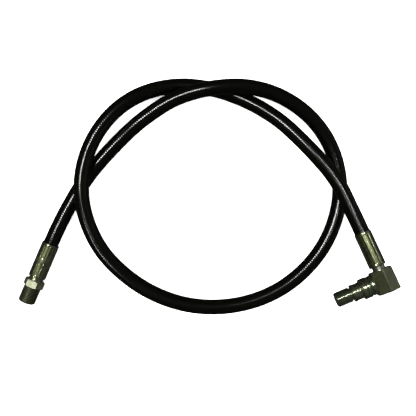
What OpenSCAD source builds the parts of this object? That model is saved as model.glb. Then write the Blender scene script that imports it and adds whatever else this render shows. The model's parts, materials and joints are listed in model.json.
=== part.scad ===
// Braid-reinforced supply line: a rubber-jacketed pressure hose lying in a
// loose overhand knot, a straight male fitting crimped on one end and a
// 90 degree swivelling male fitting crimped on the other.
//
// Millimetres. +Z is up and the floor is z = 0. The origin is the centre of
// the footprint. The hose runs from the left fitting to the right fitting.

/* [Hose] */
// Bore of the inner tube
hose_bore = 9.5; // [9.2:0.1:9.7]
// Wall of the inner tube
tube_wall = 1.25; // [1:0.05:1.3]
// Thickness of the braid
braid_wall = 0.85; // [0.6:0.05:0.9]
// Outside diameter of the jacket
hose_od = 15.8; // [15.4:0.1:16]
// Free height between the two strands of a crossing
crossing_gap = 0.8; // [0.6:0.1:1.5]
// Free height between the floor and the lowest strand
floor_gap = 0.25; // [0.25:0.05:0.5]

/* [Knot] */
// X of the loop's centre from the centre of the footprint
loop_x = 6.42; // [-10:0.01:10]
// Y of the loop's centre from the centre of the footprint
loop_y = 6.32; // [-10:0.01:10]
// Radius from the loop's centre to the left ferrule's mouth
left_mouth_r = 177; // [174:0.5:181]
// Direction in plan that the left fitting points
left_heading = 247; // [244:0.5:250]
// Radius from the loop's centre to the right ferrule's mouth
right_mouth_r = 159.6; // [157:0.2:162]
// Direction in plan that the right fitting points
right_heading = -67.1; // [-68:0.1:-66]
// Upward slope of the right fitting
right_rise = 8; // [6:0.5:10]
// Height of the right ferrule's mouth above the floor
right_mouth_z = 31; // [29:0.5:33]

/* [Ferrules] */
// Diameter of the left ferrule
left_ferrule_d = 18.1; // [17.8:0.1:18.6]
// Length of the left ferrule
left_ferrule_len = 38.2; // [36.5:0.1:39]
// Diameter of the right ferrule
right_ferrule_d = 17.4; // [17.2:0.1:18]
// Length of the right ferrule
right_ferrule_len = 36.6; // [36:0.1:38]
// Depth of the hose inside each ferrule
hose_depth = 30; // [28:0.5:31]
// Depth of the crimp flats below the ferrule's surface
crimp_depth = 0.3; // [0.2:0.05:0.4]

/* [Left fitting] */
// Plain neck between the left ferrule and the hexagon
left_neck = 3; // [2.5:0.1:4]
// Width across the flats of the left hexagon
left_hex_af = 19.05; // [18.8:0.05:19.2]
// Thickness of the left hexagon
left_hex_len = 7.15; // [6.8:0.05:7.5]
// Major diameter of the left thread
left_thread_d = 17.9; // [17.6:0.05:18]
// Length of the left thread, with its lead-in
left_thread_len = 18; // [17:0.1:19]

/* [Elbow and swivel] */
// Plain neck between the right ferrule and the elbow
right_neck = 3.8; // [3.4:0.05:4]
// Width across the flats of the elbow's hexagonal bar
block_af = 22.22; // [22:0.02:22.6]
// Length of the elbow's hexagonal bar
block_len = 23.6; // [23.5:0.1:25]
// Diameter of the swivel's housing
housing_d = 21.2; // [20.8:0.1:21.4]
// Diameter of the ring where the housing meets the elbow
root_ring_d = 20.4; // [20:0.1:20.6]
// Length of the housing that stands out of the elbow
housing_len = 13.6; // [13.2:0.1:13.8]
// Diameter of the swivel stem's collar
collar_d = 16.9; // [16.6:0.1:17.2]
// Diameter of the rim at the collar's far end
collar_rim_d = 17.9; // [17.6:0.1:18.2]
// Distance from the elbow's flat to the collar's far face
collar_end = 23.8; // [23.4:0.1:24.2]
// Major diameter of the swivel's male thread
swivel_thread_d = 16; // [15.8:0.1:16.1]
// Distance from the elbow's flat to the tip of the thread
swivel_reach = 41.4; // [40:0.1:42]
// Radial clearance of the swivel's journal
journal_gap = 0.05; // [0.03:0.01:0.08]

/* [Flex] */
// Width of the slot at which each tail bends
flex_gap = 1.9; // [1.8:0.1:3]

/* [Hidden] */

round_fn = 96;
hose_sides = 12;
layer_gap = 0.03;
seat_gap = 0.03;
flow_r = 3.5;

hose_r = hose_od / 2;
tube_r = [hose_bore / 2, hose_bore / 2 + tube_wall];
braid_r = [tube_r[1] + layer_gap, tube_r[1] + layer_gap + braid_wall];
cover_r = [braid_r[1] + layer_gap, hose_r];

// ---------------------------------------------------------------- hose route
// Each station is an angle round the loop's centre from its lowest point,
// a radius, and a rise from 0 (on the floor) to 1 (over another strand).
hose_rest = hose_r + floor_gap;
crossing_lift = hose_od + crossing_gap;
stations = [
    [-278.5, 154.0, 0.02],  // left flex point
    [-264.5, 131.5, 0],     // first crossing, under
    [-246, 112.0, 0.11],
    [-222, 101.6, 0.49],
    [-200, 100.9, 0.83],
    [-180, 104.1, 1],       // crown crossing, over
    [-160, 112.7, 0.90],
    [-140, 122.9, 0.55],
    [-116, 132.8, 0.14],
    [-92, 136.2, 0],        // last crossing, under
    [-70, 133.6, 0],
    [-45, 128.7, 0],
    [0, 122.7, 0.02],       // bottom of the loop
    [40, 124.6, 0.32],
    [68, 130.1, 0.72],
    [94, 132.6, 1],         // first crossing, over
    [116, 130.6, 0.93],
    [138, 125.4, 0.62],
    [160, 116.3, 0.12],
    [180, 107.1, 0],        // crown crossing, under
    [200, 101.5, 0.10],
    [220, 101.2, 0.38],
    [245, 109.2, 0.72],
    [268.1, 132.0, 1.03],   // last crossing, over
    [277.9, 144.7, 1.19]    // right flex point
];
left_mouth_angle = -288.46;
right_mouth_angle = 285.77;

function unit(v) = v / norm(v);
function around_loop(angle, radius, z) =
    [loop_x + radius * cos(-90 - angle), loop_y + radius * sin(-90 - angle), z];

left_mouth = around_loop(left_mouth_angle, left_mouth_r, left_hex_af / 2);
right_mouth = around_loop(right_mouth_angle, right_mouth_r, right_mouth_z);
left_axis = [cos(left_heading), sin(left_heading), 0];
right_axis = [
    cos(right_rise) * cos(right_heading),
    cos(right_rise) * sin(right_heading),
    sin(right_rise)
];

points = concat(
    [left_mouth],
    [for (s = stations) around_loop(s[0], s[1], hose_rest + crossing_lift * s[2])],
    [right_mouth]
);
last_point = len(points) - 1;
left_flex_point = 1;
right_flex_point = last_point - 1;

// The direction at a station is that of the circle through it and its
// neighbours.
function direction(i) =
    i == 0 ? -left_axis :
    i == last_point ? right_axis :
    let (before = points[i] - points[i - 1], after = points[i + 1] - points[i])
    unit(before / (before * before) + after / (after * after));

// Two arcs that leave p along u, arrive at q along v and share a tangent
// where they meet. Each arc is [start, direction, end].
function biarc(p, u, q, v) =
    let (
        chord = q - p,
        both = u + v,
        bend = 2 * (1 - u * v),
        reach = (sqrt(pow(chord * both, 2) + bend * (chord * chord))
            - chord * both) / bend,
        meet = (p + q + reach * (u - v)) / 2
    )
    [[p, u, meet], [meet, unit(q - p - reach * both), q]];

arcs = [
    for (i = [0 : last_point - 1])
        each biarc(points[i], direction(i), points[i + 1], direction(i + 1))
];

function chord_of(a) = a[2] - a[0];
function inward_of(a) = unit(chord_of(a) - a[1] * (chord_of(a) * a[1]));
function sweep_of(a) = 2 * atan2(chord_of(a) * inward_of(a), chord_of(a) * a[1]);
function radius_of(a) = norm(chord_of(a)) / (2 * sin(sweep_of(a) / 2));

// Steps along the route, each a point and a direction, from one route point
// up to but not including another.
steps_per_arc = 2;
function steps_between(first_point, end_point) = [
    for (i = [2 * first_point : 2 * end_point - 1])
        for (k = [0 : steps_per_arc - 1])
            let (a = arcs[i], turn = sweep_of(a) * k / steps_per_arc)
            [
                a[0] + radius_of(a) * (sin(turn) * a[1] + (1 - cos(turn)) * inward_of(a)),
                cos(turn) * a[1] + sin(turn) * inward_of(a)
            ]
];

// A step a little before or after a route point, where the hose is parted.
function step_beside(point, shift) =
    [points[point] + shift * direction(point), direction(point)];

function rim(step, r) =
    let (side = unit(cross(step[1], [0, 0, 1])), up = cross(side, step[1]))
    [
        for (k = [0 : hose_sides - 1])
            step[0] + r * (cos(360 * k / hose_sides) * side + sin(360 * k / hose_sides) * up)
    ];

// One hose layer swept along the steps: an outer skin, an inner skin and a
// ring-shaped face at each end. All skins are split along the same diagonals,
// so that neighbouring layers stay apart.
module swept_layer(steps, radii) {
    rings = len(steps);
    inner = rings * hose_sides;
    function corner(ring, k) = ring * hose_sides + k % hose_sides;
    polyhedron(
        points = [for (r = [radii[1], radii[0]]) for (step = steps) each rim(step, r)],
        faces = [
            for (k = [0 : hose_sides - 1])
                each [
                    for (ring = [0 : rings - 2])
                        let (
                            a = corner(ring, k),
                            b = corner(ring, k + 1),
                            c = corner(ring + 1, k),
                            d = corner(ring + 1, k + 1)
                        )
                        each [
                            [b, d, c],
                            [b, c, a],
                            [inner + b, inner + c, inner + d],
                            [inner + b, inner + a, inner + c]
                        ],
                    [inner + corner(0, k), inner + corner(0, k + 1), corner(0, k + 1),
                        corner(0, k)],
                    [corner(rings - 1, k), corner(rings - 1, k + 1),
                        inner + corner(rings - 1, k + 1), inner + corner(rings - 1, k)]
                ]
        ]
    );
}

// Frame of a fitting: the ferrule's mouth is the origin, +Z points along the
// fitting to its tip and +X points down.
module at_left_fitting() {
    translate(left_mouth)
        rotate([0, 90, left_heading])
            children();
}

module at_right_fitting() {
    translate(right_mouth)
        rotate([0, 90 - right_rise, right_heading])
            children();
}

module loop_layer(radii) {
    steps = steps_between(left_flex_point, right_flex_point);
    swept_layer(
        concat(
            [step_beside(left_flex_point, flex_gap / 2)],
            [for (i = [1 : len(steps) - 1]) steps[i]],
            [step_beside(right_flex_point, -flex_gap / 2)]
        ),
        radii
    );
}

module left_tail_layer(radii) {
    swept_layer(
        concat(
            [[left_mouth + hose_depth * left_axis, -left_axis]],
            steps_between(0, left_flex_point),
            [step_beside(left_flex_point, -flex_gap / 2)]
        ),
        radii
    );
}

module right_tail_layer(radii) {
    steps = steps_between(right_flex_point, last_point);
    swept_layer(
        concat(
            [step_beside(right_flex_point, flex_gap / 2)],
            [for (i = [1 : len(steps) - 1]) steps[i]],
            [
                [right_mouth, right_axis],
                [right_mouth + hose_depth * right_axis, right_axis]
            ]
        ),
        radii
    );
}

module outer_cover() { color("#0c0d0a") loop_layer(cover_r); }
module outer_cover_left_tail() { color("#0c0d0a") left_tail_layer(cover_r); }
module outer_cover_right_tail() { color("#0c0d0a") right_tail_layer(cover_r); }
module braid() { color("#8f9094") loop_layer(braid_r); }
module braid_left_tail() { color("#8f9094") left_tail_layer(braid_r); }
module braid_right_tail() { color("#8f9094") right_tail_layer(braid_r); }
module inner_tube() { color("#26251f") loop_layer(tube_r); }
module inner_tube_left_tail() { color("#26251f") left_tail_layer(tube_r); }
module inner_tube_right_tail() { color("#26251f") right_tail_layer(tube_r); }

// ------------------------------------------------------------ crimped parts
steel = "#6e6e50";
lip_start = hose_depth + 1.6;
lip_end = lip_start + 2.2;
groove_r = 5.6;
neck_r = 6.5;

// The flat ring between two radii.
module ring_section(radii) {
    difference() {
        circle(r = radii[1], $fn = round_fn);
        circle(r = radii[0], $fn = round_fn);
    }
}

// A cylinder between two heights, to cut a bore with.
module bore(r, from, to) {
    translate([0, 0, from])
        cylinder(r = r, h = to - from, $fn = round_fn);
}

// Eight flats pressed into the shell between two heights.
module crimp_flats(shell_r, from, to) {
    flat_r = shell_r - crimp_depth;
    translate([0, 0, from])
        difference() {
            cylinder(r = shell_r + 1, h = to - from, $fn = round_fn);
            translate([0, 0, -1])
                rotate([0, 0, 22.5])
                    cylinder(r = flat_r / cos(22.5), h = to - from + 2, $fn = 8);
        }
}

// The shell: a bore for the hose, a lip that locks in the stem's groove, and
// one or more crimped zones given as [from, to] pairs. The end away from the
// mouth is chamfered.
module ferrule(shell_r, length, zones, chamfer) {
    rim = 0.7;
    difference() {
        rotate_extrude($fn = round_fn)
            polygon([
                [groove_r + seat_gap, lip_start],
                [neck_r, lip_start],
                [hose_r + seat_gap, lip_start - 1.2],
                [hose_r + seat_gap, 0],
                [shell_r - rim / 2, 0],
                [shell_r, rim],
                [shell_r, length - chamfer],
                [shell_r - chamfer, length],
                [neck_r + seat_gap, length],
                [neck_r + seat_gap, lip_end],
                [groove_r + seat_gap, lip_end]
            ]);
        for (zone = zones)
            crimp_flats(shell_r, zone[0], zone[1]);
    }
}

// Half section of a stem's hose tail from its free end to the neck, with
// saw-tooth barbs that grip the inner tube.
barb_count = 5;
barb_pitch = 5;
barb_base = 3;
tail_root_r = 4.2;
barb_r = tube_r[0] * cos(180 / hose_sides) - seat_gap;
function tail_section() = concat(
    [[flow_r, barb_base], [tail_root_r, barb_base]],
    [
        for (i = [0 : barb_count - 1])
            each [
                [barb_r, barb_base + barb_pitch * (i + 0.8)],
                [tail_root_r, barb_base + barb_pitch * (i + 0.9)]
            ]
    ],
    [
        [tail_root_r, hose_depth + 0.2],
        [neck_r - 0.2, hose_depth + 0.2],
        [neck_r - 0.2, lip_start - 0.1],
        [groove_r, lip_start - 0.1],
        [groove_r, lip_end + 0.1],
        [neck_r, lip_end + 0.1]
    ]
);

module left_ferrule() {
    band = left_ferrule_len / 2;
    color(steel)
        at_left_fitting()
            ferrule(
                left_ferrule_d / 2,
                left_ferrule_len,
                [[1.5, band - 1.8], [band + 1.8, left_ferrule_len - 2.5]],
                0.8
            );
}

module right_ferrule() {
    color(steel)
        at_right_fitting()
            ferrule(right_ferrule_d / 2, right_ferrule_len, [[2, right_ferrule_len - 2]], 0.5);
}

// A hexagon whose corners are turned off at both ends.
module hexagon(af, length, chamfer) {
    corner_r = af / 2 / cos(30);
    intersection() {
        cylinder(r = corner_r, h = length, $fn = 6);
        rotate_extrude($fn = round_fn)
            polygon([
                [0, 0],
                [corner_r - chamfer, 0],
                [corner_r, chamfer / 2],
                [corner_r, length - chamfer / 2],
                [corner_r - chamfer, length],
                [0, length]
            ]);
    }
}

module left_stem() {
    hex_start = left_ferrule_len + left_neck;
    thread_start = hex_start + left_hex_len;
    tip = thread_start + left_thread_len;
    thread_r = left_thread_d / 2;
    shoulder_r = 7.4;
    relief = 1;
    lead_in = 1.2;
    color(steel)
        at_left_fitting()
            union() {
                rotate_extrude($fn = round_fn)
                    polygon(concat(
                        tail_section(),
                        [
                            [neck_r, left_ferrule_len + 0.1],
                            [shoulder_r, left_ferrule_len + 0.1],
                            [shoulder_r, hex_start + 1],
                            [thread_r - 1, hex_start + 1],
                            [thread_r - 1, thread_start + relief],
                            [thread_r, thread_start + relief],
                            [thread_r, tip - lead_in],
                            [thread_r - lead_in, tip],
                            [flow_r + 1, tip],
                            [flow_r, tip - 2]
                        ]
                    ));
                difference() {
                    translate([0, 0, hex_start])
                        rotate([0, 0, 30])
                            hexagon(left_hex_af, left_hex_len, 0.9);
                    bore(flow_r + 1, hex_start - 1, thread_start + 1);
                }
            }
}

// --------------------------------------------------------- elbow and swivel
block_start = right_ferrule_len + right_neck;
socket_depth = 4.2;
swivel_height = block_start + 11.4;
flat_x = block_af / 2;
housing_end = flat_x + housing_len;
spigot_r = 6;
spigot_end = 5.1;
port_end = 4;
port_r = 3.2;
journal_r = 6.95;
washer_wall = 0.5;
collar_start = housing_end + washer_wall + 2 * journal_gap;

module right_stem() {
    color(steel)
        at_right_fitting()
            rotate_extrude($fn = round_fn)
                polygon(concat(
                    tail_section(),
                    [
                        [neck_r, block_start + socket_depth - seat_gap],
                        [flow_r, block_start + socket_depth - seat_gap]
                    ]
                ));
}

// Frame of the swivel: its origin is where the two bores meet and +Z points
// out of the elbow's flat.
module swivel_frame() {
    translate([0, 0, swivel_height])
        rotate([90, 0, 0])
            children();
}

module at_swivel() {
    at_right_fitting()
        swivel_frame()
            children();
}

module elbow_block() {
    color("#63623f")
        at_right_fitting()
            difference() {
                translate([0, 0, block_start])
                    hexagon(block_af, block_len, 0.7);
                bore(neck_r + seat_gap, block_start - 1, block_start + socket_depth);
                bore(flow_r, block_start, swivel_height + flow_r + 1);
                swivel_frame() {
                    bore(port_r, 0, port_end + 1);
                    bore(spigot_r + seat_gap, port_end, flat_x + 1);
                }
            }
}

wire_r = 0.95;
wire_height = flat_x + 10.2;
module swivel_housing() {
    outer_r = housing_d / 2;
    root_r = root_ring_d / 2;
    root_end = flat_x + 4;
    shoulder = flat_x + 5.8;
    score = flat_x + 9.1;
    wire_seat_r = wire_r + journal_gap;
    color(steel)
        at_swivel()
            difference() {
                rotate_extrude($fn = round_fn)
                    polygon([
                        [flow_r, spigot_end],
                        [spigot_r, spigot_end],
                        [spigot_r, flat_x + seat_gap],
                        [root_r - 0.6, flat_x + seat_gap],
                        [root_r, flat_x + 0.6],
                        [root_r, root_end],
                        [root_r - 1, root_end + 0.6],
                        [root_r - 1, shoulder - 0.9],
                        [outer_r - 0.3, shoulder],
                        [outer_r, shoulder + 0.4],
                        [outer_r, score - 0.6],
                        [outer_r - 0.6, score],
                        [outer_r, score + 0.6],
                        [outer_r, housing_end - 0.6],
                        [outer_r - 0.6, housing_end],
                        [journal_r + journal_gap, housing_end],
                        [journal_r + journal_gap, flat_x + 1.7],
                        [flow_r, flat_x + 1.7]
                    ]);
                translate([0, 0, wire_height])
                    rotate_extrude($fn = round_fn)
                        translate([journal_r, 0])
                            circle(r = wire_seat_r, $fn = 32);
            }
}

module housing_seal() {
    color("#b06a3a")
        at_swivel()
            translate([0, 0, port_end + seat_gap])
                linear_extrude(spigot_end - port_end - 2 * seat_gap)
                    ring_section([flow_r + 0.1, spigot_r - 0.2]);
}

// The two seal grooves of the swivel's journal, as heights above the flat.
seal_grooves = [3, 6.4];
seal_groove_len = 2.6;
seal_groove_r = 5.2;
o_ring_r = 0.88;
module swivel_stem() {
    thread_r = swivel_thread_d / 2;
    collar_r = collar_d / 2;
    tip = flat_x + swivel_reach;
    wire_groove_r = 5.7;
    wire_groove_half = 1.05;
    rim_r = collar_rim_d / 2;
    rim_len = 2.3;
    relief_r = 6.2;
    relief = 2;
    lead_in = 1.5;
    color(steel)
        at_swivel()
            rotate_extrude($fn = round_fn)
                polygon(concat(
                    [[flow_r, flat_x + 2], [journal_r, flat_x + 2]],
                    [
                        for (height = seal_grooves)
                            each [
                                [journal_r, flat_x + height],
                                [seal_groove_r, flat_x + height],
                                [seal_groove_r, flat_x + height + seal_groove_len],
                                [journal_r, flat_x + height + seal_groove_len]
                            ]
                    ],
                    [
                        [journal_r, wire_height - wire_groove_half],
                        [wire_groove_r, wire_height - wire_groove_half],
                        [wire_groove_r, wire_height + wire_groove_half],
                        [journal_r, wire_height + wire_groove_half],
                        [journal_r, collar_start],
                        [collar_r - 0.5, collar_start],
                        [collar_r, collar_start + 0.5],
                        [collar_r, flat_x + collar_end - rim_len],
                        [rim_r, flat_x + collar_end - rim_len + 0.4],
                        [rim_r, flat_x + collar_end - 0.5],
                        [rim_r - 0.5, flat_x + collar_end],
                        [relief_r, flat_x + collar_end],
                        [relief_r, flat_x + collar_end + relief - 0.6],
                        [thread_r, flat_x + collar_end + relief],
                        [thread_r, tip - lead_in],
                        [thread_r - lead_in, tip],
                        [flow_r + 2, tip],
                        [flow_r, tip - 3.5]
                    ]
                ));
}

module swivel_o_rings() {
    color("#151515")
        at_swivel()
            for (height = seal_grooves)
                translate([0, 0, flat_x + height + o_ring_r + 0.02])
                    rotate_extrude($fn = round_fn)
                        translate([(seal_groove_r + journal_r) / 2 + 0.02, 0])
                            circle(r = o_ring_r - 0.02, $fn = 32);
}

module swivel_backup_rings() {
    ring_len = 0.7;
    color("#e9e6dc")
        at_swivel()
            for (height = seal_grooves)
                translate([0, 0, flat_x + height + seal_groove_len - ring_len - 0.03])
                    linear_extrude(ring_len)
                        ring_section([seal_groove_r + 0.02, journal_r]);
}

// A split wire ring that holds the stem in the housing and still lets it turn.
module retaining_ring() {
    gap_angle = 30;
    color("#9a9a96")
        at_swivel()
            translate([0, 0, wire_height])
                rotate_extrude(angle = 360 - gap_angle, $fn = round_fn)
                    translate([journal_r, 0])
                        circle(r = wire_r, $fn = 32);
}

module thrust_washer() {
    color("#c9b27a")
        at_swivel()
            translate([0, 0, housing_end + journal_gap])
                linear_extrude(washer_wall)
                    ring_section([journal_r + journal_gap, collar_d / 2 - 0.4]);
}

outer_cover();
outer_cover_left_tail();
outer_cover_right_tail();
braid();
braid_left_tail();
braid_right_tail();
inner_tube();
inner_tube_left_tail();
inner_tube_right_tail();
left_ferrule();
left_stem();
right_ferrule();
right_stem();
elbow_block();
swivel_housing();
housing_seal();
swivel_stem();
swivel_o_rings();
swivel_backup_rings();
retaining_ring();
thrust_washer();
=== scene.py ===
import json
import math

import bmesh
import bpy
import numpy as np
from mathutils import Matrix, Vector


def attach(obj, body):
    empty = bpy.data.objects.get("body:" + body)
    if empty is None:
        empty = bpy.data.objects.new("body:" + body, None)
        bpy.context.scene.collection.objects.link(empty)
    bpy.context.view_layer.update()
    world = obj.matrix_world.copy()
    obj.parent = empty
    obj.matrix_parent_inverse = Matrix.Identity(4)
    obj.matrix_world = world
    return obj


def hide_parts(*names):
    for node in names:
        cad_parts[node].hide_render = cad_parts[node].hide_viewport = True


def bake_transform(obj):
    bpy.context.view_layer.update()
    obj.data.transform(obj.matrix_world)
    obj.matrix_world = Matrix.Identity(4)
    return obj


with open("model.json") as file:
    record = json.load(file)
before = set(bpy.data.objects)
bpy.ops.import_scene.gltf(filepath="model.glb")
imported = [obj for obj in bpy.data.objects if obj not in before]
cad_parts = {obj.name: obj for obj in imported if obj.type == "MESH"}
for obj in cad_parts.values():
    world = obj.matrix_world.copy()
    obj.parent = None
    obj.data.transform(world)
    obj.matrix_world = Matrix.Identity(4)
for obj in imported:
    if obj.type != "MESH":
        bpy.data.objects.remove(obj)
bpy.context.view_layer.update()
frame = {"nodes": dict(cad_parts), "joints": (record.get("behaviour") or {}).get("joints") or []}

# Shapes are worked out in millimetres and become metres when a mesh is made.
MM = 0.001
TAU = 2 * math.pi


def unit(v):
    v = np.asarray(v, float)
    return v / np.linalg.norm(v)


def cos_sin(degrees):
    angle = math.radians(degrees)
    return np.array([math.cos(angle), math.sin(angle)])


# ---------------------------------------------------------------- hose route
HOSE_R = 7.9
COVER_BORE_R = 6.91
# Height of the hose's axis where it lies on the floor, and how much higher it
# is where it crosses another strand.
HOSE_REST = 8.15
CROSSING_LIFT = 16.6
# How far the hose goes into each ferrule.
HOSE_DEPTH = 30.0
# Angle round the loop's centre, radius, and rise from 0 (on the floor) to 1
# (over another strand).
STATIONS = [
    (-278.5, 154.0, 0.02), (-264.5, 131.5, 0), (-246, 112.0, 0.11),
    (-222, 101.6, 0.49), (-200, 100.9, 0.83), (-180, 104.1, 1),
    (-160, 112.7, 0.90), (-140, 122.9, 0.55), (-116, 132.8, 0.14),
    (-92, 136.2, 0), (-70, 133.6, 0), (-45, 128.7, 0), (0, 122.7, 0.02),
    (40, 124.6, 0.32), (68, 130.1, 0.72), (94, 132.6, 1),
    (116, 130.6, 0.93), (138, 125.4, 0.62), (160, 116.3, 0.12),
    (180, 107.1, 0), (200, 101.5, 0.10), (220, 101.2, 0.38),
    (245, 109.2, 0.72), (268.1, 132.0, 1.03), (277.9, 144.7, 1.19),
]
# The ferrules' mouths, as (angle, radius, height), and where the fittings point.
LEFT_MOUTH = (-288.46, 177.0, 9.525)
RIGHT_MOUTH = (285.77, 159.6, 31.0)
LEFT_HEADING = 247
RIGHT_HEADING = -67.1
RIGHT_SLOPE = 8

JOINTS = {j["name"]: j for j in frame["joints"]}
LEFT_FLEX = np.array(JOINTS["left_tail_flex"]["pos_m"]) / MM
LOOP_CENTRE = LEFT_FLEX[:2] - STATIONS[0][1] * cos_sin(-90 - STATIONS[0][0])


def around_loop(angle, radius, z):
    return np.append(LOOP_CENTRE + radius * cos_sin(-90 - angle), z)


def matrix_of(origin, z_axis, x_axis):
    """A 4 x 4 frame with its Z and X along the given axes."""
    m = np.eye(4)
    m[:3, 0] = x_axis
    m[:3, 1] = np.cross(z_axis, x_axis)
    m[:3, 2] = z_axis
    m[:3, 3] = origin
    return m


# Both fittings, and the swivel, have their Z along their own axis.
LEFT = matrix_of(
    around_loop(*LEFT_MOUTH), np.append(cos_sin(LEFT_HEADING), 0), [0, 0, -1]
)
LEVEL, RISE = cos_sin(RIGHT_SLOPE)
RIGHT = matrix_of(
    around_loop(*RIGHT_MOUTH),
    np.append(LEVEL * cos_sin(RIGHT_HEADING), RISE),
    np.append(RISE * cos_sin(RIGHT_HEADING), -LEVEL),
)
# The swivel's axis, this far along the right fitting.
SWIVEL_HEIGHT = 51.8
SWIVEL = matrix_of(
    RIGHT[:3, 3] + SWIVEL_HEIGHT * RIGHT[:3, 2], -RIGHT[:3, 1], RIGHT[:3, 0]
)

ROUTE = (
    [LEFT[:3, 3]]
    + [around_loop(a, r, HOSE_REST + CROSSING_LIFT * rise) for a, r, rise in STATIONS]
    + [RIGHT[:3, 3]]
)


def direction(i):
    """Direction at a route point: that of the circle through it and its neighbours."""
    if i == 0:
        return -LEFT[:3, 2]
    if i == len(ROUTE) - 1:
        return RIGHT[:3, 2]
    before, after = ROUTE[i] - ROUTE[i - 1], ROUTE[i + 1] - ROUTE[i]
    return unit(before / (before @ before) + after / (after @ after))


def biarc(p, u, q, v):
    """Two arcs from p along u to q along v, each as (start, direction, end)."""
    chord, both, bend = q - p, u + v, 2 * (1 - u @ v)
    reach = (math.sqrt((chord @ both) ** 2 + bend * (chord @ chord)) - chord @ both) / bend
    meet = (p + q + reach * (u - v)) / 2
    return [(p, u, meet), (meet, unit(q - p - reach * both), q)]


ARCS = []
for i in range(len(ROUTE) - 1):
    ARCS += biarc(ROUTE[i], direction(i), ROUTE[i + 1], direction(i + 1))
ARC_DATA = []
for start, along, end in ARCS:
    chord = end - start
    inward = unit(chord - along * (chord @ along))
    sweep = 2 * math.atan2(chord @ inward, chord @ along)
    radius = np.linalg.norm(chord) / (2 * math.sin(sweep / 2))
    ARC_DATA.append((start, along, inward, radius, sweep, radius * sweep))
ARC_ENDS = np.cumsum([a[5] for a in ARC_DATA])
ROUTE_LENGTH = ARC_ENDS[-1]
# The flex points are the first and the last station. Two arcs lie between each
# of them and its mouth.
LEFT_FLEX_S = ARC_ENDS[1]
RIGHT_FLEX_S = ARC_ENDS[-3]


def on_route(s):
    """Point and direction at a distance along the hose from the left mouth."""
    if s <= 0:
        return ROUTE[0] + s * direction(0), direction(0)
    if s >= ROUTE_LENGTH:
        last = len(ROUTE) - 1
        return ROUTE[last] + (s - ROUTE_LENGTH) * direction(last), direction(last)
    k = int(np.searchsorted(ARC_ENDS, s))
    start, along, inward, radius, sweep, length = ARC_DATA[k]
    a = (s - (ARC_ENDS[k] - length)) / radius
    point = start + radius * (math.sin(a) * along + (1 - math.cos(a)) * inward)
    return point, math.cos(a) * along + math.sin(a) * inward


# -------------------------------------------------------------- mesh helpers
# Edges with a larger angle, in degrees, are shaded sharp.
SOFT, PLAIN_EDGE, CRISP = 60, 32, 28
# Points nearer than MERGE, in metres, become one. Shorter edges than DEGENERATE go.
MERGE = 2e-7
DEGENERATE = 1e-8


def shade(mesh, smooth_angle):
    """Smooth shading, apart from the edges with a larger angle than this."""
    mesh.polygons.foreach_set("use_smooth", [True] * len(mesh.polygons))
    mesh.set_sharp_from_angle(angle=math.radians(smooth_angle))


def make_object(name, points, faces, place, smooth_angle=PLAIN_EDGE):
    """A mesh object from points in millimetres. 'place' is each point in the
    piece's own straight frame, and the materials are laid out in it."""
    mesh = bpy.data.meshes.new(name)
    mesh.from_pydata([tuple(p) for p in np.asarray(points) * MM], [], faces)
    attribute = mesh.attributes.new("place", "FLOAT_VECTOR", "POINT")
    attribute.data.foreach_set("vector", np.asarray(place, np.float32).ravel())
    bm = bmesh.new()
    bm.from_mesh(mesh)
    bmesh.ops.remove_doubles(bm, verts=bm.verts, dist=MERGE)
    bmesh.ops.dissolve_degenerate(bm, edges=bm.edges, dist=DEGENERATE)
    bmesh.ops.recalc_face_normals(bm, faces=bm.faces)
    bm.to_mesh(mesh)
    bm.free()
    shade(mesh, smooth_angle)
    obj = bpy.data.objects.new(name, mesh)
    bpy.context.scene.collection.objects.link(obj)
    return obj


def grid_faces(rows, cols, first=0, wrap_rows=False, wrap_cols=True):
    """Quads between rows of points, which may close on themselves either way."""
    faces = []
    for i in range(rows if wrap_rows else rows - 1):
        a = first + i * cols
        b = first + (i + 1) % rows * cols
        for j in range(cols if wrap_cols else cols - 1):
            k = (j + 1) % cols
            faces.append((a + j, a + k, b + k, b + j))
    return faces


def to_world(points, matrix):
    return points @ matrix[:3, :3].T + matrix[:3, 3]


def turned_solid(name, angles, rings, matrix, thread=None, smooth_angle=PLAIN_EDGE):
    """A solid turned about Z. Each ring is (r, z), either of which may vary
    with the angle. A thread, if any, joins the last ring to the first."""
    cos, sin, ones = np.cos(angles), np.sin(angles), np.ones(len(angles))
    points = [
        np.stack([r * ones * cos, r * ones * sin, z * ones], 1) for r, z in rings
    ]
    faces = grid_faces(len(rings), len(angles), wrap_rows=thread is None)
    count = len(rings) * len(angles)
    if thread is not None:
        strip, rows = thread_strip(angles, thread)
        points.append(strip)
        faces += grid_faces(rows, len(angles) + 1, first=count, wrap_cols=False)
    local = np.concatenate(points)
    return make_object(name, to_world(local, matrix), faces, local, smooth_angle)


def even_angles(count):
    return np.arange(count) * TAU / count


def off_middle(angles, count):
    """Angle to the middle of the nearest of a number of equal parts. The middle
    of one part is at 0."""
    part = TAU / count
    return np.abs((angles + part / 2) % part - part / 2)


# The most of a profile's edge that one rounded corner may take.
ROUNDED_SHARE = 0.45


def rounded(profile, steps=3):
    """A profile of (r, z) or (r, z, radius) points. Corners with a radius become
    arcs."""
    out = []
    for i, corner in enumerate(profile):
        here = np.array(corner[:2], float)
        if len(corner) < 3 or i in (0, len(profile) - 1):
            out.append(tuple(here))
            continue
        back = np.array(profile[i - 1][:2], float) - here
        on = np.array(profile[i + 1][:2], float) - here
        half = math.acos(np.clip(unit(back) @ unit(on), -1, 1)) / 2
        room = ROUNDED_SHARE * min(np.linalg.norm(back), np.linalg.norm(on))
        tangent = min(corner[2] / math.tan(half), room)
        radius = tangent * math.tan(half)
        centre = here + unit(unit(back) + unit(on)) * radius / math.sin(half)
        first = here + unit(back) * tangent - centre
        last = here + unit(on) * tangent - centre
        for k in range(steps + 1):
            mixed = first * (1 - k / steps) + last * k / steps
            out.append(tuple(centre + unit(mixed) * radius))
    return out


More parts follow.
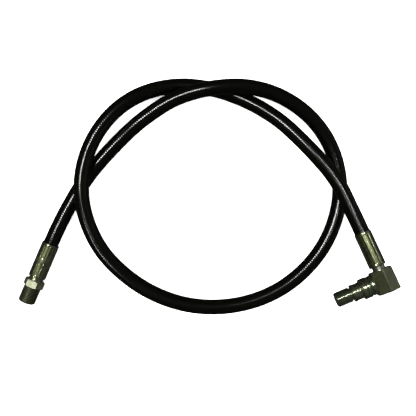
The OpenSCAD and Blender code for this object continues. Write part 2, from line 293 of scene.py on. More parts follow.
def smoothstep(x):
    x = np.clip(x, 0, 1)
    return x * x * (3 - 2 * x)


# ------------------------------------------------------------------- threads
THREAD_PITCH, THREAD_DEPTH = 1.5, 0.92
# Where the flank begins and ends, in turns from the middle of the crest.
CREST, ROOT = 1 / 16, 6 / 16
# Rows of points along one turn.
THREAD_STEPS = [
    0, CREST, 0.14, 0.25, 0.33, ROOT, 0.44, 0.56, 1 - ROOT, 0.67, 0.75, 0.86, 1 - CREST
]


class Thread:
    """A 60 degree external thread between two heights, with a lead-in cone."""

    def __init__(self, start, end, radius, tip_r, tip):
        self.start, self.end, self.radius = start, end, radius
        self.tip_r, self.tip = tip_r, tip

    def at(self, angles, z):
        """Radius of the threaded surface."""
        turns = (z - self.start) / THREAD_PITCH - angles / TAU
        off_crest = np.abs(turns - np.round(turns))
        cut = np.clip((off_crest - CREST) / (ROOT - CREST), 0, 1)
        cut = THREAD_DEPTH * (0.7 * cut + 0.3 * smoothstep(cut))
        return np.minimum(self.radius - cut, self.tip_r + (self.tip - z))


def thread_strip(angles, thread):
    """Points of the helical surface, row by row, and the number of rows."""
    angles = np.append(angles, angles[0] + TAU)
    turns = math.ceil((thread.end - thread.start) / THREAD_PITCH) + 1
    steps = [t + u for t in range(-1, turns) for u in THREAD_STEPS]
    rows = []
    for step in steps:
        z = thread.start + THREAD_PITCH * (step + angles / TAU)
        z = np.clip(z, thread.start, thread.end)
        r = thread.at(angles, z)
        rows.append(np.stack([r * np.cos(angles), r * np.sin(angles), z], 1))
    return np.concatenate(rows), len(steps)


# ------------------------------------------------------------------ hexagons
def rounded_corner(sides, apothem, fillet):
    """Of a regular polygon with rounded corners: the angle of one side, the
    distance to an arc's centre, and the half angle that an arc takes."""
    part = TAU / sides
    corner = (apothem - fillet) / math.cos(part / 2)
    touch = math.atan2(fillet * math.sin(part / 2), corner + fillet * math.cos(part / 2))
    return part, corner, touch


def polygon_radius(angles, sides, apothem, fillet):
    """Radius of a regular polygon whose corners are rounded. A flat faces
    angle 0."""
    part, corner, touch = rounded_corner(sides, apothem, fillet)
    off = off_middle(angles, sides)
    flat = apothem / np.cos(off)
    a = part / 2 - off
    inside = np.maximum(fillet**2 - (corner * np.sin(a)) ** 2, 0)
    arc = corner * np.cos(a) + np.sqrt(inside)
    return np.where(a < touch, arc, flat)


# Between the last point of a side and the first one of its corner.
SIDE_MARGIN = 0.008


def polygon_angles(sides, apothem, fillet, flat_steps=10, arc_steps=6):
    """Angles that follow a rounded polygon: close together at its corners."""
    part, _, touch = rounded_corner(sides, apothem, fillet)
    half_side = part / 2 - touch - SIDE_MARGIN
    side = np.linspace(-half_side, half_side, flat_steps)
    arc = np.linspace(part / 2 - touch, part / 2 + touch, arc_steps)
    one = np.concatenate([side, arc])
    return np.concatenate([one + k * part for k in range(sides)])


# The bevel between a hexagon's end faces and its sides.
HEX_EDGE = 0.12


def corner_radius(af):
    """From the axis to a sharp corner of a hexagon of a given width."""
    return af / 2 / math.cos(TAU / 12)


def hexagon_rings(angles, af, start, length, chamfer, fillet, turn=0.0, land=0.0):
    """Rings of a hexagonal prism whose corners are turned off at both ends and
    may be turned down a little along their whole length."""
    flat = polygon_radius(angles - turn, 6, af / 2, fillet)
    flat = np.minimum(flat, corner_radius(af) - land)
    face_r = corner_radius(af) - chamfer
    drop = HEX_EDGE + np.maximum(flat - face_r, 0) / 2
    face = np.minimum(flat, face_r)
    end = start + length
    return [
        (face - HEX_EDGE, start),
        (face, start + HEX_EDGE * 0.4),
        (flat, start + drop),
        (flat, start + length / 2),
        (flat, end - drop),
        (face, end - HEX_EDGE * 0.4),
        (face - HEX_EDGE, end),
    ]


# -------------------------------------------------------------------- pieces
# The braid's wires press ribs into the jacket, this far apart and this high,
# and uneven round the hose.
BRAID_PITCH = 2.45
BRAID_STARTS = 8
RIPPLE = 0.045
UNEVEN = 0.3
# Along the hose from a ferrule's mouth, the ribs rise from nothing just inside
# it to their full height just outside.
FADE_START, FADE_LENGTH = -1, 3
# One rib of the jacket, as (part of the pitch, height): a broad crown and a
# narrow valley.
RIB = [(-0.2, 1.0), (0.2, 1.0), (0.42, -1.0), (0.58, -1.0)]
COVER_SIDES = 48
# The least distance from a length's end to its next ring, and the distance
# between rings of the bore.
END_GAP = 0.1
INNER_STEP = 12.0


def hose_cover(name, s0, s1):
    """The jacket between two distances along the route, with its ribs."""
    phase = even_angles(COVER_SIDES)
    ribs = range(math.floor(s0 / BRAID_PITCH) - 1, math.ceil(s1 / BRAID_PITCH) + 2)
    rows = [((k + part) * BRAID_PITCH, height) for k in ribs for part, height in RIB]
    between = [row for row in rows if s0 + END_GAP < row[0] < s1 - END_GAP]
    outer = [(s0, 1.0)] + between + [(s1, 1.0)]
    inner_s = np.linspace(s1, s0, max(3, round((s1 - s0) / INNER_STEP)))
    points, place = [], []

    def ring(s, r):
        point, along = on_route(s)
        side = unit(np.cross(along, [0, 0, 1]))
        up = np.cross(side, along)
        c, n = np.cos(phase)[:, None], np.sin(phase)[:, None]
        r = (r * np.ones(COVER_SIDES))[:, None]
        points.append(point + r * (c * side + n * up))
        place.append(np.concatenate([r * c, r * n, np.full_like(r, s)], 1))

    for s, height in outer:
        left = smoothstep((s - FADE_START) / FADE_LENGTH)
        right = smoothstep((ROUTE_LENGTH - FADE_START - s) / FADE_LENGTH)
        wave = height * (1 - UNEVEN + UNEVEN * np.cos(BRAID_STARTS * phase))
        ring(s, HOSE_R - RIPPLE + RIPPLE * wave * left * right)
    for s in inner_s:
        ring(s, COVER_BORE_R)
    count = len(points)
    faces = grid_faces(count, COVER_SIDES, wrap_rows=True)
    return make_object(name, np.concatenate(points), faces, np.concatenate(place), SOFT)


# The distance on each side of a flex point at which the jacket's three lengths meet.
SEAM_REACH = 41.0


def seam_near(s):
    """The nearest crown of a rib, so that the shading of the two lengths agrees."""
    return BRAID_PITCH * round(s / BRAID_PITCH)


LEFT_SEAM_S = seam_near(LEFT_FLEX_S + SEAM_REACH)
RIGHT_SEAM_S = seam_near(RIGHT_FLEX_S - SEAM_REACH)


# Sizes that several pieces share, as in the CAD: the flow bore, a stem's neck
# and the hole round it, and a ferrule's lip in the groove of its stem.
FLOW_R = 3.5
NECK_R, NECK_HOLE_R = 6.5, 6.53
LIP_START, LIP_END, LIP_R = 31.6, 33.8, 5.63
FERRULE_SEAT_R = HOSE_R + 0.03
# The crimping dies, the flats that they leave, and how far a zone's ends slope.
DIES, FLATS = 8, 24
ZONE_EDGE = 0.9
# The ridge between two dies rises over the flats by this many depths.
RIDGE = 1.25
# A ferrule's rounded mouth starts at this share of its radius.
MOUTH_SHARE = 8.7 / 9.05


def ferrule(name, matrix, shell_r, length, zones, depth, chamfer):
    """A crimped shell. In each zone eight dies have pressed narrow flats, with
    a sharp ridge between one die and the next."""
    angles = even_angles(192)
    off_die = off_middle(angles, DIES) / (TAU / DIES / 2)
    flat = (shell_r - depth) * (1 / np.cos(off_middle(angles, FLATS)) - 1)
    uneven = 0.006 * np.cos(angles * 23)
    press = depth * (1 - RIDGE * off_die**9) - flat + uneven

    def zone_depth(z):
        return max(
            smoothstep((z - a) / ZONE_EDGE) * smoothstep((b - z) / ZONE_EDGE)
            for a, b in zones
        )

    heights = [0.7]
    for a, b in zones:
        heights += list(np.linspace(a, a + 1.0, 6))
        heights += list(np.linspace(a + 1.0, b - 1.0, 9))[1:-1]
        heights += list(np.linspace(b - 1.0, b, 6))
    rings = [(8.35, 0.0), (shell_r * MOUTH_SHARE, 0.05), (shell_r - 0.12, 0.28)]
    rings += [(shell_r - press * zone_depth(z), z) for z in heights]
    rings += rounded(
        [
            (shell_r, heights[-1] + 0.3),
            (shell_r, length - chamfer, 0.3),
            (shell_r - chamfer, length, 0.3),
            (NECK_HOLE_R, length),
        ],
        5,
    )
    rings += [(NECK_HOLE_R, LIP_END), (LIP_R, LIP_END), (LIP_R, LIP_START), (NECK_R, LIP_START)]
    rings += [(FERRULE_SEAT_R, LIP_START - 1.2), (FERRULE_SEAT_R, 0.5), (8.05, 0.1)]
    return turned_solid(name, angles, rings, matrix, smooth_angle=CRISP)


BARBS, BARB_START, BARB_PITCH = 5, 3, 5
BARB_R, BARB_ROOT_R = 4.558, 4.2


def barbed_tail():
    """Half section of a stem's hose tail, from its free end to its neck."""
    collar_r, collar_start = 6.3, 30.2
    groove_r, groove_start, groove_end = 5.6, 31.5, 33.9
    points = [(FLOW_R, BARB_START), (BARB_ROOT_R, BARB_START)]
    for i in range(BARBS):
        points += [
            (BARB_R, BARB_START + BARB_PITCH * (i + 0.8)),
            (BARB_ROOT_R, BARB_START + BARB_PITCH * (i + 0.9)),
        ]
    return points + [
        (BARB_ROOT_R, collar_start),
        (collar_r, collar_start),
        (collar_r, groove_start),
        (groove_r, groove_start),
        (groove_r, groove_end),
        (NECK_R, groove_end),
    ]


def left_stem():
    """Hose tail, neck, hexagon and thread in one turned piece."""
    hex_start, hex_length, af, chamfer, fillet = 41.2, 7.15, 19.05, 0.9, 0.35
    shoulder_start, shoulder_r, relief_r, mouth_r = 38.3, 7.4, 7.95, 4.7
    thread_start = hex_start + hex_length
    tip = thread_start + 18.0
    thread = Thread(
        start=thread_start + 1.0, end=tip - 0.5, radius=8.95, tip_r=7.75, tip=tip
    )
    angles = polygon_angles(6, af / 2, fillet, flat_steps=18)
    rings = [(thread.at(angles, thread.end), thread.end)]
    rings += rounded(
        [
            (8.1, thread.end),
            (thread.tip_r, tip, 0.3),
            (mouth_r, tip, 0.2),
            (mouth_r - 0.2, tip - 0.2),
            (FLOW_R, tip - 2),
        ]
    )[1:]
    rings += barbed_tail()
    neck = [(NECK_R, 34.0), (NECK_R, shoulder_start), (shoulder_r, shoulder_start, 0.2)]
    neck += [(shoulder_r, hex_start, 0.5), (corner_radius(af) - chamfer, hex_start)]
    rings += rounded(neck)[1:-1]
    rings += hexagon_rings(angles, af, hex_start, hex_length, chamfer, fillet)
    rings += rounded(
        [(9.0, thread_start), (relief_r, thread_start, 0.3), (relief_r, thread.start)]
    )[1:]
    rings += [(thread.at(angles, thread.start), thread.start)]
    return turned_solid("left_fitting_stem", angles, rings, LEFT, thread)


def cut_with(obj, cutters):
    """Take the cutters' volumes out of an object."""
    for cutter in cutters:
        modifier = obj.modifiers.new("cut", "BOOLEAN")
        modifier.operation = "DIFFERENCE"
        modifier.solver = "EXACT"
        modifier.object = cutter
        with bpy.context.temp_override(object=obj):
            bpy.context.view_layer.objects.active = obj
            bpy.ops.object.modifier_apply(modifier=modifier.name)
        mesh = cutter.data
        bpy.data.objects.remove(cutter)
        bpy.data.meshes.remove(mesh)


# A profile that closes on the axis starts and ends at this radius.
AXIS_R = 1e-4


def plug(matrix, profile):
    """A closed solid turned from a profile that starts and ends on the axis."""
    return turned_solid("cutter", even_angles(72), profile, matrix)


# The elbow's hexagonal bar, and half its width, where the swivel leaves it.
BLOCK_AF = 22.22
BLOCK_FLAT = BLOCK_AF / 2


def elbow_block():
    """A length of hexagonal bar with a hole for the neck and one for the swivel."""
    start, length, turn = 40.4, 23.6, TAU / 12
    chamfer, fillet, land, corner_spread = 0.7, 0.15, 0.24, 0.9
    end = start + length
    angles = polygon_angles(6, BLOCK_FLAT, corner_spread, flat_steps=14, arc_steps=9) + turn
    rings = [(AXIS_R, start), (3.0, start), (7.0, start)]
    rings += hexagon_rings(angles, BLOCK_AF, start, length, chamfer, fillet, turn, land)
    rings += [(7.0, end), (3.0, end), (AXIS_R, end)]
    block = turned_solid("elbow_body", angles, rings, RIGHT, smooth_angle=CRISP)
    socket_end, bore_end = start + 4.2, SWIVEL_HEIGHT + 4.5
    neck = [(AXIS_R, start - 1), (6.85, start - 1), (6.85, start)]
    neck += [(NECK_HOLE_R, start + 0.32), (NECK_HOLE_R, socket_end)]
    neck += [(FLOW_R, socket_end), (FLOW_R, bore_end), (AXIS_R, bore_end + 1)]
    port = [(AXIS_R, 0), (3.2, 0), (3.2, 4), (6.03, 4), (6.03, 13), (AXIS_R, 13)]
    cut_with(block, [plug(RIGHT, neck), plug(SWIVEL, port)])
    finish_shading(block, RIGHT)
    return block


def finish_shading(obj, matrix):
    """Place and shading again, after a cut."""
    mesh = obj.data
    co = np.zeros(len(mesh.vertices) * 3)
    mesh.vertices.foreach_get("co", co)
    local = (co.reshape(-1, 3) / MM - matrix[:3, 3]) @ matrix[:3, :3]
    attribute = mesh.attributes.get("place") or mesh.attributes.new(
        "place", "FLOAT_VECTOR", "POINT"
    )
    attribute.data.foreach_set("vector", local.astype(np.float32).ravel())
    shade(mesh, CRISP)


# The retaining ring's height, in a groove of the housing and one of the stem.
RETAINER = 21.31


def swivel_housing():
    """The ringed root of the plug, with the journal's bore and a round groove."""
    root, waist, outer, groove, bore = 10.2, 9.2, 10.6, 10.0, 7.0
    flat, end, boss_r, boss_start = BLOCK_FLAT, BLOCK_FLAT + 13.6, 6.0, 5.1
    profile = [
        (FLOW_R, boss_start),
        (boss_r, boss_start, 0.15),
        (boss_r, flat + 0.03, 0.1),
        (root, flat + 0.03, 0.5),
        (root, flat + 4.0, 0.45),
        (waist, flat + 4.6, 0.2),
        (waist, flat + 4.9, 0.2),
        (outer - 0.1, flat + 5.8, 0.4),
        (outer, flat + 8.5, 0.3),
        (groove, flat + 9.0, 0.1),
        (groove, flat + 9.2, 0.1),
        (outer, flat + 9.7, 0.3),
        (outer, end, 0.55),
        (bore, end, 0.15),
    ]
    across = np.linspace(-1, 1, 9)
    profile += [(bore + math.sqrt(max(0, 1 - x * x)), RETAINER - x) for x in across]
    profile += [(bore, flat + 1.7), (FLOW_R, flat + 1.7)]
    return turned_solid("elbow_swivel_housing", even_angles(144), rounded(profile, 4), SWIVEL)


def swivel_stem():
    """The plug that turns: journal with its grooves, collar and thread."""
    journal, gland, collar, rim, relief_r = 6.95, 5.2, 8.45, 8.95, 6.2
    groove_r, groove_half, mouth_r = 5.7, 1.05, 5.6
    collar_start, collar_end = 25.31, 34.91
    start, tip = BLOCK_FLAT + 2, BLOCK_FLAT + 41.4
    thread = Thread(
        start=collar_end + 2.0, end=tip - 0.4, radius=8.0, tip_r=6.6, tip=tip
    )
    angles = even_angles(144)
    head = [(thread.at(angles, thread.end), thread.end)]
    head += rounded(
        [
            (6.9, thread.end),
            (thread.tip_r, tip, 0.3),
            (mouth_r, tip, 0.15),
            (mouth_r - 0.2, tip - 0.2),
            (FLOW_R, tip - 3.5),
        ]
    )[1:]
    body = [(FLOW_R, start), (journal, start, 0.3)]
    for bottom in (BLOCK_FLAT + 3.0, BLOCK_FLAT + 6.4):
        top = bottom + 2.6
        body += [(journal, bottom), (gland, bottom), (gland, top), (journal, top)]
    body += [
        (journal, RETAINER - groove_half),
        (groove_r, RETAINER - groove_half),
        (groove_r, RETAINER + groove_half),
        (journal, RETAINER + groove_half),
        (journal, collar_start, 0.2),
        (collar, collar_start, 0.5),
        (collar, collar_end - 2.3, 0.15),
        (rim, collar_end - 2.0, 0.35),
        (rim, collar_end, 0.5),
        (relief_r, collar_end, 0.35),
        (relief_r, collar_end + 1.4, 0.3),
        (7.08, thread.start),
    ]
    rings = head + rounded(body, 4) + [(thread.at(angles, thread.start), thread.start)]
    return turned_solid("swivel_plug_stem", angles, rings, SWIVEL, thread)


# ----------------------------------------------------------------- materials
class Shader:
    """Short words for building a node tree."""

    def __init__(self, name):
        self.material = bpy.data.materials.new(name)
        self.material.use_nodes = True
        self.tree = self.material.node_tree
        self.tree.nodes.clear()

    def put(self, value, socket):
        if isinstance(value, bpy.types.NodeSocket):
            self.tree.links.new(value, socket)
        else:
            socket.default_value = value

    def node(self, kind, inputs=None, **settings):
        made = self.tree.nodes.new(kind)
        for key, value in settings.items():
            setattr(made, key, value)
        for key, value in (inputs or {}).items():
            self.put(value, made.inputs[key])
        return made

    def place(self):
        return self.node("ShaderNodeAttribute", attribute_name="place").outputs["Vector"]

    def object_mm(self):
        at = self.node("ShaderNodeTexCoord").outputs["Object"]
        return self.scaled(at, (1000, 1000, 1000))

    def scaled(self, vector, factors):
        return self.node(
            "ShaderNodeVectorMath", {0: vector, 1: factors}, operation="MULTIPLY"
        ).outputs[0]

    def math(self, operation, a, b=0.0):
        return self.node("ShaderNodeMath", {0: a, 1: b}, operation=operation).outputs[0]

    def times(self, a, b):
        return self.math("MULTIPLY", a, b)

    def plus(self, a, b):
        return self.math("ADD", a, b)

    def noise(self, vector, scale, detail=3.0, roughness=0.55, distortion=0.0):
        return self.node(
            "ShaderNodeTexNoise",
            {
                "Vector": vector, "Scale": scale, "Detail": detail,
                "Roughness": roughness, "Distortion": distortion,
            },
        ).outputs["Fac"]

    def between(self, value, low, high, to_low=0.0, to_high=1.0):
        return self.node(
            "ShaderNodeMapRange",
            {
                "Value": value, "From Min": low, "From Max": high,
                "To Min": to_low, "To Max": to_high,
            },
            clamp=True,
        ).outputs["Result"]

    def mix(self, factor, a, b):
        made = self.node("ShaderNodeMix", data_type="RGBA")
        self.put(factor, made.inputs[0])
        self.put(colour(a), made.inputs[6])
        self.put(colour(b), made.inputs[7])
        return made.outputs[2]

    def rings(self, vector, scale, detail):
        """Noise that depends only on the radius and the height: lathe marks."""
        parts = self.node("ShaderNodeSeparateXYZ", {0: vector})
        x, y = parts.outputs[0], parts.outputs[1]
        r = self.math("SQRT", self.plus(self.times(x, x), self.times(y, y)))
        flat = self.node("ShaderNodeCombineXYZ", {0: r, 1: 0.0, 2: parts.outputs[2]})
        return self.noise(flat.outputs[0], scale, detail)

    def bump(self, height, distance, normal=None):
        made = self.node("ShaderNodeBump", {"Height": height, "Distance": distance * MM})
        made.inputs["Strength"].default_value = 1.0
        if normal is not None:
            self.put(normal, made.inputs["Normal"])
        return made.outputs["Normal"]

    def finish(self, **inputs):
        names = {key.replace("_", " "): value for key, value in inputs.items()}
        shader = self.node("ShaderNodeBsdfPrincipled", names)
        self.node("ShaderNodeOutputMaterial", {"Surface": shader.outputs[0]})
        return self.material


def colour(value):
    if isinstance(value, tuple) and len(value) == 3:
        return (*value, 1.0)
    return value


def jacket():
    """Black jacket: satin sheen, faint scuffs along the hose, fine dust."""
    m = Shader("jacket_black")
    at = m.place()
    broad = m.noise(at, 0.06, 3)
    grain = m.noise(at, 3.0, 4, 0.6)
    scuffs = m.noise(m.scaled(at, (1.6, 1.6, 0.07)), 1.0, 4, 0.7)
    scuff = m.between(scuffs, 0.60, 0.76)
    dust = m.between(m.noise(at, 1.1, 6, 0.75), 0.66, 0.80)
    base = m.mix(broad, (0.0001, 0.0002, 0.0), (0.0004, 0.0004, 0.0002))
    base = m.mix(m.times(scuff, 0.30), base, (0.004, 0.004, 0.0026))
    base = m.mix(m.times(dust, 0.08), base, (0.006, 0.006, 0.004))
    rough = m.between(grain, 0.3, 0.7, 0.13, 0.18)
    rough = m.plus(rough, m.times(scuff, 0.12))
    normal = m.bump(grain, 0.015)
    normal = m.bump(scuffs, 0.03, normal)
    return m.finish(
        Base_Color=base, Roughness=rough, Specular_IOR_Level=0.24, Normal=normal
    )


# Zinc's clear sealer, the lighter tone of its edges (partly wear, partly painted highlight), the
# painted shade in its hollows, and the tone of its bands.
SEALER_ROUGH, SEALER_INDEX = 0.07, 1.8
WORN_EDGE_AND_HIGHLIGHT = (0.62, 0.62, 0.55)
HOLLOW_SHADE = (0.05, 0.05, 0.03)
DULL = (0.04, 0.045, 0.02)


def zinc(name, tints, marks, rough, mottle=0.22, bump=0.02, source="place", bands=()):
    """Steel with an olive passivated zinc coat under a clear sealer. 'marks' is
    how it was worked: 'turned' leaves rings, 'drawn' leaves streaks along the
    axis. A band is (low, high, extra roughness, share of the dull tone)."""
    m = Shader(name)
    at = m.place() if source == "place" else m.object_mm()
    cloud = m.noise(at, mottle, 5, 0.62, 0.4)
    spots = m.noise(at, mottle * 6, 4, 0.7)
    if marks == "turned":
        lines = m.rings(at, 5.0, 3)
    else:
        lines = m.noise(m.scaled(at, (1.0, 1.0, 0.02)), 1.5, 4, 0.7)
    fine = m.noise(at, 6.0, 3, 0.6)
    tone = m.mix(m.between(cloud, 0.36, 0.64), tints[0], tints[1])
    tone = m.mix(m.times(m.between(spots, 0.5, 0.72), 0.55), tone, tints[2])
    tone = m.mix(m.times(m.between(lines, 0.42, 0.6), 0.5), tone, tints[0])
    edge = m.node("ShaderNodeNewGeometry").outputs["Pointiness"]
    # The sharp outer edges are painted lighter: partly wear through the zinc, partly a painted
    # highlight along the edges.
    worn_and_highlight = m.times(m.between(edge, 0.52, 0.60), m.between(fine, 0.35, 0.65, 0.5, 1.0))
    tone = m.mix(m.times(worn_and_highlight, 0.55), tone, WORN_EDGE_AND_HIGHLIGHT)
    # Painted shade: the colour is darkened in the hollows, where the surface curves inwards;
    # these are also made rougher.
    hollows = m.between(edge, 0.49, 0.42)
    tone = m.mix(m.times(hollows, 0.7), tone, HOLLOW_SHADE)
    uneven = m.plus(m.times(lines, 0.6), m.times(spots, 0.4))
    level = m.between(uneven, 0.35, 0.65, *rough)
    level = m.plus(level, m.times(hollows, 0.25))
    sealed = 1.0
    sealer_rough = m.times(spots, 0.06)
    height = m.node("ShaderNodeSeparateXYZ", {0: at}).outputs[2]
    for low, high, extra, shade in bands:
        inside = m.times(
            m.math("GREATER_THAN", height, low), m.math("LESS_THAN", height, high)
        )
        level = m.plus(level, m.times(inside, extra))
        tone = m.mix(m.times(inside, shade), tone, DULL)
        sealer_rough = m.plus(sealer_rough, m.times(inside, extra))
        sealed = m.math("SUBTRACT", sealed, m.times(inside, shade))
    normal = m.bump(lines, bump)
    normal = m.bump(fine, bump * 0.6, normal)
    normal = m.bump(spots, bump * 1.2, normal)
    return m.finish(
        Base_Color=tone, Metallic=1.0, Roughness=level, Normal=normal,
        Coat_Weight=sealed, Coat_Roughness=m.plus(sealer_rough, SEALER_ROUGH),
        Coat_IOR=SEALER_INDEX, Coat_Normal=m.bump(lines, bump * 0.4),
    )


def simple(name, tint_a, tint_b, metallic, rough, scale, bump):
    """A plain part's finish, with cloudy colour, uneven sheen and grain."""
    m = Shader(name)
    at = m.object_mm()
    cloud = m.noise(at, scale * 0.3, 4)
    grain = m.noise(at, scale, 4, 0.6)
    base = m.mix(m.between(cloud, 0.35, 0.65), tint_a, tint_b)
    level = m.between(grain, 0.3, 0.7, rough[0], rough[1])
    return m.finish(
        Base_Color=base, Metallic=metallic, Roughness=level, Normal=m.bump(grain, bump)
    )


def braid_wire():
    """Bright wires laid over and under each other."""
    m = Shader("braid_wire")
    at = m.object_mm()
    waves = []
    for rotation in (0.0, 0.9):
        turned_at = m.node("ShaderNodeVectorRotate", {"Vector": at, "Angle": rotation})
        wires = {"Vector": turned_at.outputs[0], "Scale": 0.8, "Distortion": 0.6}
        waves.append(m.node("ShaderNodeTexWave", wires).outputs["Fac"])
    weave = m.math("MAXIMUM", waves[0], waves[1])
    tarnish = m.noise(at, 0.4, 4)
    base = m.mix(m.between(tarnish, 0.4, 0.65), (0.55, 0.55, 0.56), (0.34, 0.33, 0.31))
    rough = m.between(weave, 0.2, 0.9, 0.5, 0.24)
    return m.finish(Base_Color=base, Metallic=1.0, Roughness=rough, Normal=m.bump(weave, 0.2))


JACKET = jacket()
BRAID = braid_wire()
CRIMPED = [(0.055, 0.060, 0.022), (0.13, 0.14, 0.07), (0.035, 0.040, 0.016)]
# The plain band between the left ferrule's zones is dull.
LEFT_SHELL = zinc(
    "zinc_crimped_left", CRIMPED, "drawn", (0.22, 0.34), bump=0.022,
    bands=[(17.1, 21.1, 0.25, 0.7)],
)
RIGHT_SHELL = zinc("zinc_crimped_right", CRIMPED, "drawn", (0.22, 0.34), bump=0.022)
# The hexagon is a little rougher, and the thread is dull.
STEM = zinc(
    "zinc_turned",
    [(0.13, 0.145, 0.07), (0.23, 0.25, 0.16), (0.08, 0.09, 0.04)],
    "turned", (0.20, 0.34),
    bands=[(41.0, 48.4, 0.14, 0.0), (48.4, 66.4, 0.20, 0.85)],
)
BLOCK = zinc(
    "zinc_bar",
    [(0.12, 0.13, 0.05), (0.19, 0.205, 0.095), (0.30, 0.33, 0.21)],
    "drawn", (0.16, 0.26), mottle=0.16, bump=0.010,
)
PLUG = zinc(
    "zinc_plug",
    [(0.12, 0.145, 0.075), (0.23, 0.26, 0.17), (0.07, 0.085, 0.04)],
    "turned", (0.16, 0.30),
)
NECK = zinc(
    "zinc_neck",
    [(0.26, 0.29, 0.18), (0.38, 0.42, 0.29), (0.18, 0.20, 0.12)],
    "turned", (0.14, 0.26), source="object",
)
# Two tints, metallic, range of roughness, scale of the grain, bump.
PLAIN_LOOKS = {
    "tube_rubber": ((0.022, 0.022, 0.018), (0.036, 0.035, 0.03), 0, (0.5, 0.7), 2.0, 0.03),
    "seal_rubber": ((0.012,) * 3, (0.022,) * 3, 0, (0.38, 0.55), 4.0, 0.01),
    "copper_ring": ((0.70, 0.36, 0.22), (0.52, 0.26, 0.17), 1, (0.24, 0.42), 3.0, 0.01),
    "ptfe_ring": ((0.86, 0.85, 0.81), (0.78, 0.77, 0.73), 0, (0.35, 0.5), 3.0, 0.008),
    "spring_wire": ((0.50, 0.50, 0.48), (0.38, 0.37, 0.35), 1, (0.2, 0.36), 6.0, 0.008),
    "bronze_washer": ((0.13, 0.10, 0.06), (0.09, 0.07, 0.045), 1, (0.4, 0.55), 4.0, 0.01),
}
PLAIN = {name: simple(name, *look) for name, look in PLAIN_LOOKS.items()}


# ----------------------------------------------------------------- the model
def add(obj, material, body, slot, *nodes):
    """Dress a piece and let it stand for its CAD nodes. It rides on its body, if it has one."""
    obj.data.materials.clear()
    obj.data.materials.append(material)
    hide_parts(*nodes)
    if body:
        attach(obj, body)


def bend_with(obj):
    """Bake the tail's placement into its mesh."""
    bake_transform(obj)


loop = hose_cover("jacket_loop", LEFT_SEAM_S, RIGHT_SEAM_S)
add(loop, JACKET, "loop", "jacket", "outer_cover")
left_tail = hose_cover("jacket_left_tail", -HOSE_DEPTH, LEFT_SEAM_S)
add(left_tail, JACKET, None, "jacket", "outer_cover_left_tail")
bend_with(left_tail)
right_tail = hose_cover("jacket_right_tail", RIGHT_SEAM_S, ROUTE_LENGTH + HOSE_DEPTH)
add(right_tail, JACKET, None, "jacket", "outer_cover_right_tail")
bend_with(right_tail)

add(
    ferrule("left_crimp_ferrule", LEFT, 9.05, 38.2, [(1.5, 17.3), (20.9, 35.7)], 0.3, 0.8),
    LEFT_SHELL, "left_end", "zinc_steel", "left_ferrule",
)
add(
    ferrule("right_crimp_ferrule", RIGHT, 8.7, 36.6, [(2.0, 34.6)], 0.3, 0.5),
    RIGHT_SHELL, "right_end", "zinc_steel", "right_ferrule",
)
add(left_stem(), STEM, "left_end", "zinc_steel", "left_stem")
add(elbow_block(), BLOCK, "right_end", "zinc_steel", "elbow_block")
add(swivel_housing(), PLUG, "right_end", "zinc_steel", "swivel_housing")
add(swivel_stem(), PLUG, "swivel_end", "zinc_steel", "swivel_stem")

# The CAD nodes that are shown as they are.
for node, material in {
    "braid": BRAID,
    "braid_left_tail": BRAID,
    "braid_right_tail": BRAID,
    "inner_tube": PLAIN["tube_rubber"],
    "inner_tube_left_tail": PLAIN["tube_rubber"],
    "inner_tube_right_tail": PLAIN["tube_rubber"],
    "right_stem": NECK,
    "housing_seal": PLAIN["copper_ring"],
    "swivel_o_rings": PLAIN["seal_rubber"],
    "swivel_backup_rings": PLAIN["ptfe_ring"],
    "retaining_ring": PLAIN["spring_wire"],
    "thrust_washer": PLAIN["bronze_washer"],
}.items():
    materials = frame["nodes"][node].data.materials
    materials.clear()
    materials.append(material)

# --------------------------------------------------------------------- studio
FLOOR_WHITE = 0.92
FLOOR_IN_REFLECTIONS = 0.03
SKY_ON_FLOOR = 3.6
SKY_SEEN = 1.0
# In reflections the sky is dark near the floor, brighter overhead and
# brighter on the right. It changes between these values of a direction's Z and
# X.
SKY_LOW, SKY_HIGH, SKY_RIGHT = 0.02, 0.08, 0.21
OVERHEAD = (0.3, 1.0)
RIGHTWARD = (0.65, 0.95)


def studio_world():
    """A white sky for the camera and the floor, and a dim one in reflections."""
    world = bpy.data.worlds.new("studio")
    bpy.context.scene.world = world
    world.use_nodes = True
    tree = world.node_tree
    tree.nodes.clear()
    path = tree.nodes.new("ShaderNodeLightPath")
    dim = tree.nodes.new("ShaderNodeMix")
    dim.inputs[2].default_value = SKY_ON_FLOOR
    along = tree.nodes.new("ShaderNodeSeparateXYZ")
    coordinates = tree.nodes.new("ShaderNodeTexCoord")
    tree.links.new(coordinates.outputs["Generated"], along.inputs[0])

    def ramp(axis, low, high, to_low, to_high):
        made = tree.nodes.new("ShaderNodeMapRange")
        made.interpolation_type = "SMOOTHSTEP"
        for key, value in zip(
            ("From Min", "From Max", "To Min", "To Max"), (low, high, to_low, to_high)
        ):
            made.inputs[key].default_value = value
        tree.links.new(along.outputs[axis], made.inputs["Value"])
        return made.outputs["Result"]

    total = tree.nodes.new("ShaderNodeMath")
    total.operation = "ADD"
    tree.links.new(ramp(2, *OVERHEAD, SKY_LOW, SKY_HIGH), total.inputs[0])
    tree.links.new(ramp(0, *RIGHTWARD, 0.0, SKY_RIGHT), total.inputs[1])
    tree.links.new(total.outputs[0], dim.inputs[3])
    tree.links.new(path.outputs["Is Glossy Ray"], dim.inputs[0])
    seen = tree.nodes.new("ShaderNodeMix")
    seen.inputs[3].default_value = SKY_SEEN
    tree.links.new(path.outputs["Is Camera Ray"], seen.inputs[0])
    tree.links.new(dim.outputs[0], seen.inputs[2])
    sky = tree.nodes.new("ShaderNodeBackground")
    sky.inputs["Color"].default_value = (1, 1, 1, 1)
    tree.links.new(seen.outputs[0], sky.inputs["Strength"])
    out = tree.nodes.new("ShaderNodeOutputWorld")
    tree.links.new(sky.outputs[0], out.inputs["Surface"])


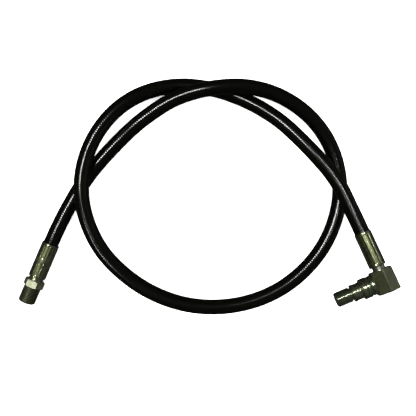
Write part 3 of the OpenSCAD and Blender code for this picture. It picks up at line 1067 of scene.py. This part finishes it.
def floor_material():
    """White, and nearly black in reflections."""
    m = Shader("floor_white")
    at = m.object_mm()
    grain = m.noise(at, 0.02, 3)
    tint = m.mix(grain, (FLOOR_WHITE,) * 3, (FLOOR_WHITE - 0.02,) * 3)
    white = m.node("ShaderNodeBsdfDiffuse", {"Color": tint})
    glow = {"Color": (1, 1, 1, 1), "Strength": FLOOR_IN_REFLECTIONS}
    dim = m.node("ShaderNodeEmission", glow)
    path = m.node("ShaderNodeLightPath")
    both = m.node("ShaderNodeMixShader", {0: path.outputs["Is Glossy Ray"]})
    m.put(white.outputs[0], both.inputs[1])
    m.put(dim.outputs[0], both.inputs[2])
    m.node("ShaderNodeOutputMaterial", {"Surface": both.outputs[0]})
    return m.material


FLOOR_HALF_M = 3.0


def floor():
    half = FLOOR_HALF_M
    mesh = bpy.data.meshes.new("floor")
    corners = [(-half, -half, 0), (half, -half, 0), (half, half, 0), (-half, half, 0)]
    mesh.from_pydata(corners, [], [(0, 1, 2, 3)])
    obj = bpy.data.objects.new("floor", mesh)
    bpy.context.scene.collection.objects.link(obj)
    mesh.materials.append(floor_material())


def light(kind, name, place, target, power):
    """A light that faces a target. Millimetres and watts."""
    data = bpy.data.lights.new(name, kind)
    data.energy = power
    obj = bpy.data.objects.new(name, data)
    bpy.context.scene.collection.objects.link(obj)
    obj.location = Vector(place) * MM
    obj.rotation_mode = "QUATERNION"
    obj.rotation_quaternion = (Vector(place) - Vector(target)).to_track_quat("Z", "Y")
    return data


def square_lamp(name, place, target, side, power):
    """A soft lamp for the whole object."""
    data = light("AREA", name, place, target, power)
    data.shape = "SQUARE"
    data.size = side * MM


def spot(name, place, target, radius, cone, power):
    """A narrow lamp that lights only the surroundings of its target."""
    data = light("SPOT", name, place, target, power)
    data.shadow_soft_size = radius * MM
    data.spot_size = math.radians(cone)
    data.spot_blend = 0.6


CAMERA_PLACE = (3.75, -12.11, 600.0)
CAMERA_LENS = 48.6


def camera():
    data = bpy.data.cameras.new("camera")
    data.sensor_width = 36
    data.lens = CAMERA_LENS
    data.clip_start = 0.01
    obj = bpy.data.objects.new("camera", data)
    obj.location = Vector(CAMERA_PLACE) * MM
    bpy.context.scene.collection.objects.link(obj)
    bpy.context.scene.camera = obj


studio_world()
floor()
square_lamp("key", (-360, 200, 1200), (0, 0, 20), 140, 17.0)
# Each spot stands where its target mirrors it to the camera.
spot("low_left", (-375, -330, 600), (-91, -75, 15), 45, 11, 8.0)
spot("right", (200, 370, 1130), (158, -35, 30), 45, 9.0, 25.0)
spot("left", (-739, -184, 1054), (-180, -112, 10), 40, 4.6, 12.0)
spot("left_tail", (-222, -70, 1130), (-146, -18, 16), 25, 5.4, 6.0)
spot("right_tail", (128, 122, 1130), (147, -5, 35), 25, 5.4, 10.0)
spot("right_strand", (52, 206, 1130), (107, 38, 30), 25, 5.0, 5.0)
camera()
bpy.context.scene.view_settings.view_transform = "Standard"
